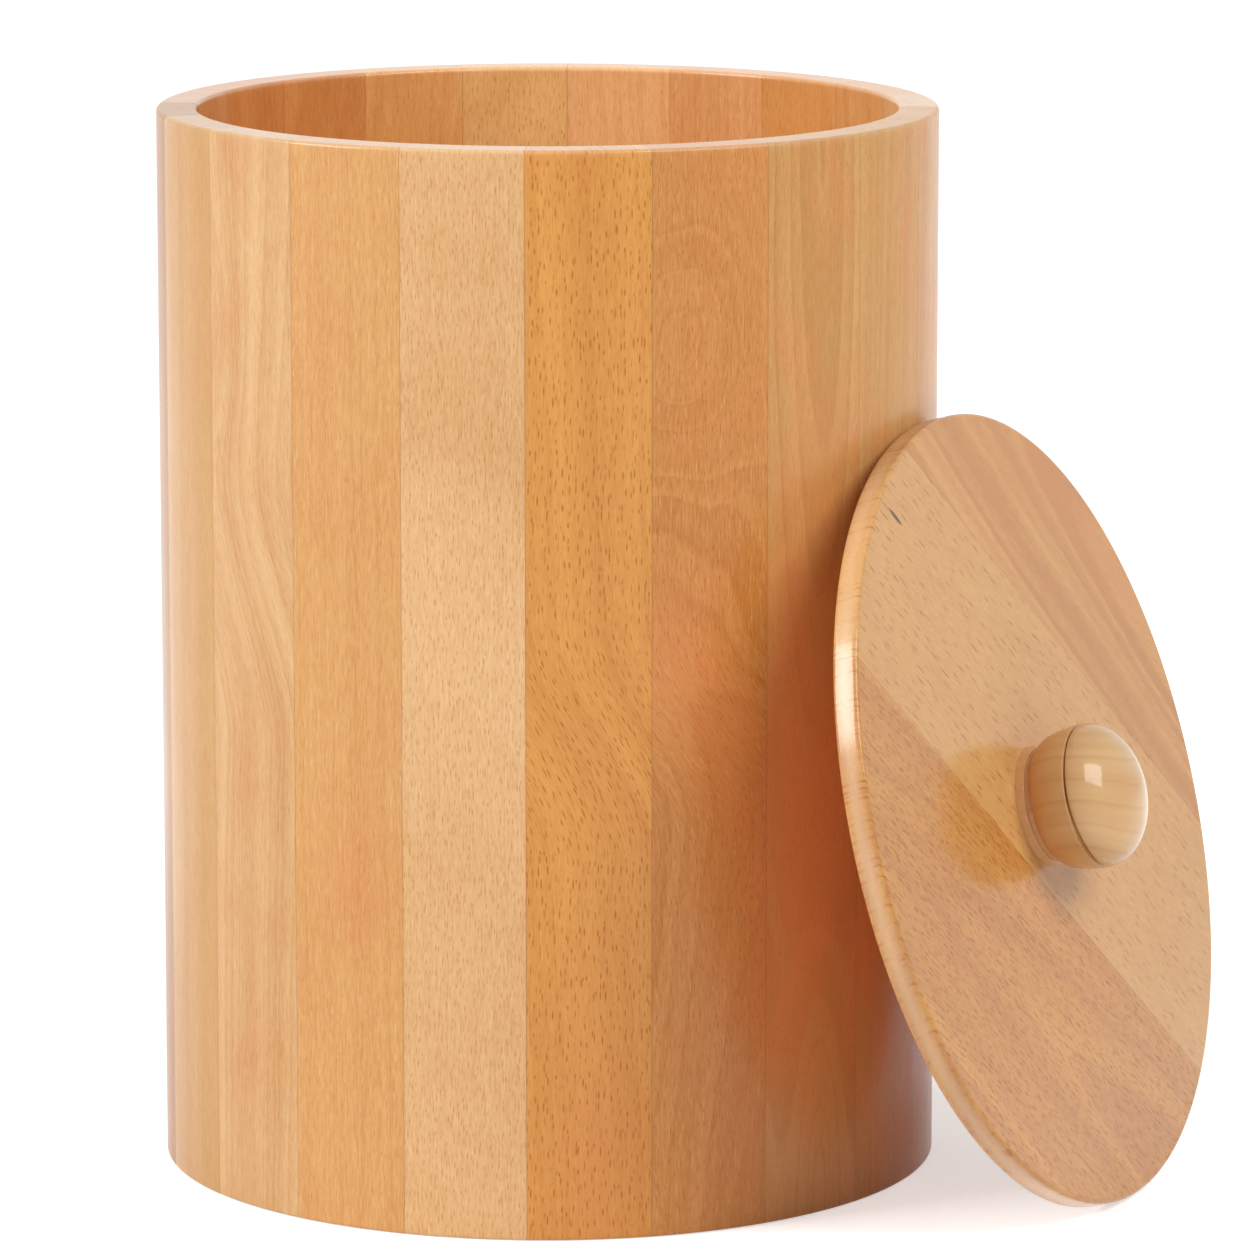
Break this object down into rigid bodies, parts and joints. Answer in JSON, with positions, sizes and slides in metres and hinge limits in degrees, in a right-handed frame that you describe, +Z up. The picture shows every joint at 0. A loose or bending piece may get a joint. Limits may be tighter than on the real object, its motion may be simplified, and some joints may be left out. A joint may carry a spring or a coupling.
{
  "type": "bathroom waste bin",
  "caption": "Open-topped round wooden waste bin of edge-glued staves, with its loose disc lid and turned mushroom knob leaning against the wall.",
  "frame": {"origin": "on the floor at the axis of the bin, which is the centre of the underside of its floor boards", "axes": "+Z up along the bin's axis; the lid leans against the wall on the +X, -Y side, and -Y faces the viewer"},
  "size_m": [0.3023, 0.2654, 0.3],
  "materials": {
    "beech_pale": "clear semi-gloss lacquer over pale beech",
    "beech_golden": "clear semi-gloss lacquer over golden beech",
    "beech_amber": "clear semi-gloss lacquer over dark, strongly flecked beech",
    "beech_tan": "clear semi-gloss lacquer over tan beech with a cathedral figure",
    "beech_rosy": "clear semi-gloss lacquer over pinkish beech",
    "beech_straw": "clear gloss lacquer over straw-coloured turned wood",
    "screw_steel": "bright zinc-plated steel"
  },
  "bodies": {
    "bin": {"stave_01": "beech_amber", "stave_02": "beech_tan", "stave_03": "beech_tan", "stave_04": "beech_golden", "stave_05": "beech_golden", "stave_06": "beech_pale", "stave_07": "beech_golden", "stave_08": "beech_pale", "stave_09": "beech_rosy", "stave_10": "beech_golden", "stave_11": "beech_pale", "stave_12": "beech_amber", "stave_13": "beech_tan", "stave_14": "beech_golden", "stave_15": "beech_pale", "stave_16": "beech_pale", "stave_17": "beech_pale", "stave_18": "beech_golden", "stave_19": "beech_amber", "stave_20": "beech_pale", "base_board_1": "beech_golden", "base_board_2": "beech_pale", "base_board_3": "beech_rosy", "base_board_4": "beech_golden", "base_board_5": "beech_pale"},
    "lid": {"lid_board_left": "beech_tan", "lid_board_middle": "beech_pale", "lid_board_right": "beech_rosy", "knob": "beech_straw", "knob_screw": "screw_steel"}
  },
  "joints": [
    {"name": "lid_pull", "type": "slide", "parent": "bin", "child": "lid", "axis": [0.8693, -0.4147, 0.2689], "range_m": [0, 0.25]}
  ]
}
